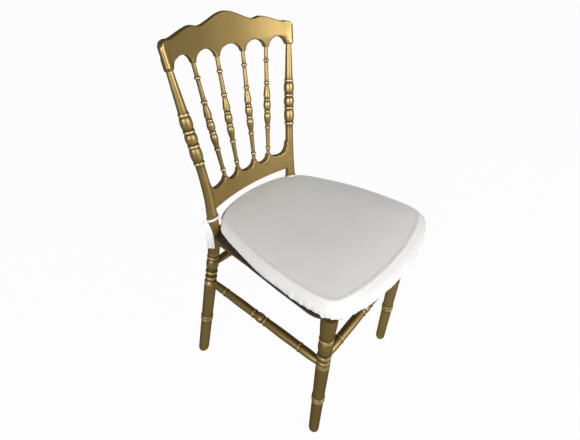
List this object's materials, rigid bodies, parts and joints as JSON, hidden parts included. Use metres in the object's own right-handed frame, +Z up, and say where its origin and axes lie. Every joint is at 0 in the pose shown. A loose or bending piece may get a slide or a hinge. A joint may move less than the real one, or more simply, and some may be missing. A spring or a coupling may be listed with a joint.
{
  "type": "versailles chair",
  "caption": "Gold-painted event dining chair with turned legs, posts, spindles and stretchers, a waved crest rail, a scalloped lower back rail and a white seat cushion tied to the posts.",
  "frame": {"origin": "on the floor, under the middle of the chair's bounding box", "axes": "+Z up, the chair faces -Y, +X to the right of someone who looks at its front"},
  "size_m": [0.4616, 0.5039, 0.9145],
  "materials": {
    "gold_paint": "satin gold metallic paint over turned wood",
    "plywood": "plain plywood",
    "bare_wood": "sawn hardwood",
    "zinc_steel": "zinc plated",
    "nylon": "moulded, matt",
    "white_cloth": "plain white cloth"
  },
  "bodies": {
    "root": {"back_post_left": "gold_paint", "back_post_right": "gold_paint", "crest_rail": "gold_paint", "back_spindle_1": "gold_paint", "back_spindle_2": "gold_paint", "back_spindle_3": "gold_paint", "back_spindle_4": "gold_paint", "lower_back_rail": "gold_paint", "front_leg_left": "gold_paint", "front_leg_right": "gold_paint", "stretcher_front": "gold_paint", "stretcher_rear": "gold_paint", "stretcher_left": "gold_paint", "stretcher_right": "gold_paint", "seat_rail_front": "gold_paint", "seat_rail_rear": "gold_paint", "seat_rail_left": "gold_paint", "seat_rail_right": "gold_paint", "seat_panel": "plywood", "corner_block_front_left": "bare_wood", "corner_block_front_right": "bare_wood", "corner_block_rear_left": "bare_wood", "corner_block_rear_right": "bare_wood", "corner_bolt_front_left": "zinc_steel", "corner_bolt_front_right": "zinc_steel", "corner_bolt_rear_left": "zinc_steel", "corner_bolt_rear_right": "zinc_steel", "panel_screw_front_left": "zinc_steel", "panel_screw_front_right": "zinc_steel", "panel_screw_rear_left": "zinc_steel", "panel_screw_rear_right": "zinc_steel", "foot_glide_front_left": "nylon", "foot_glide_front_right": "nylon", "foot_glide_rear_left": "nylon", "foot_glide_rear_right": "nylon", "seat_cushion": "white_cloth", "cushion_tie_left": "white_cloth", "cushion_tie_right": "white_cloth"}
  },
  "joints": []
}
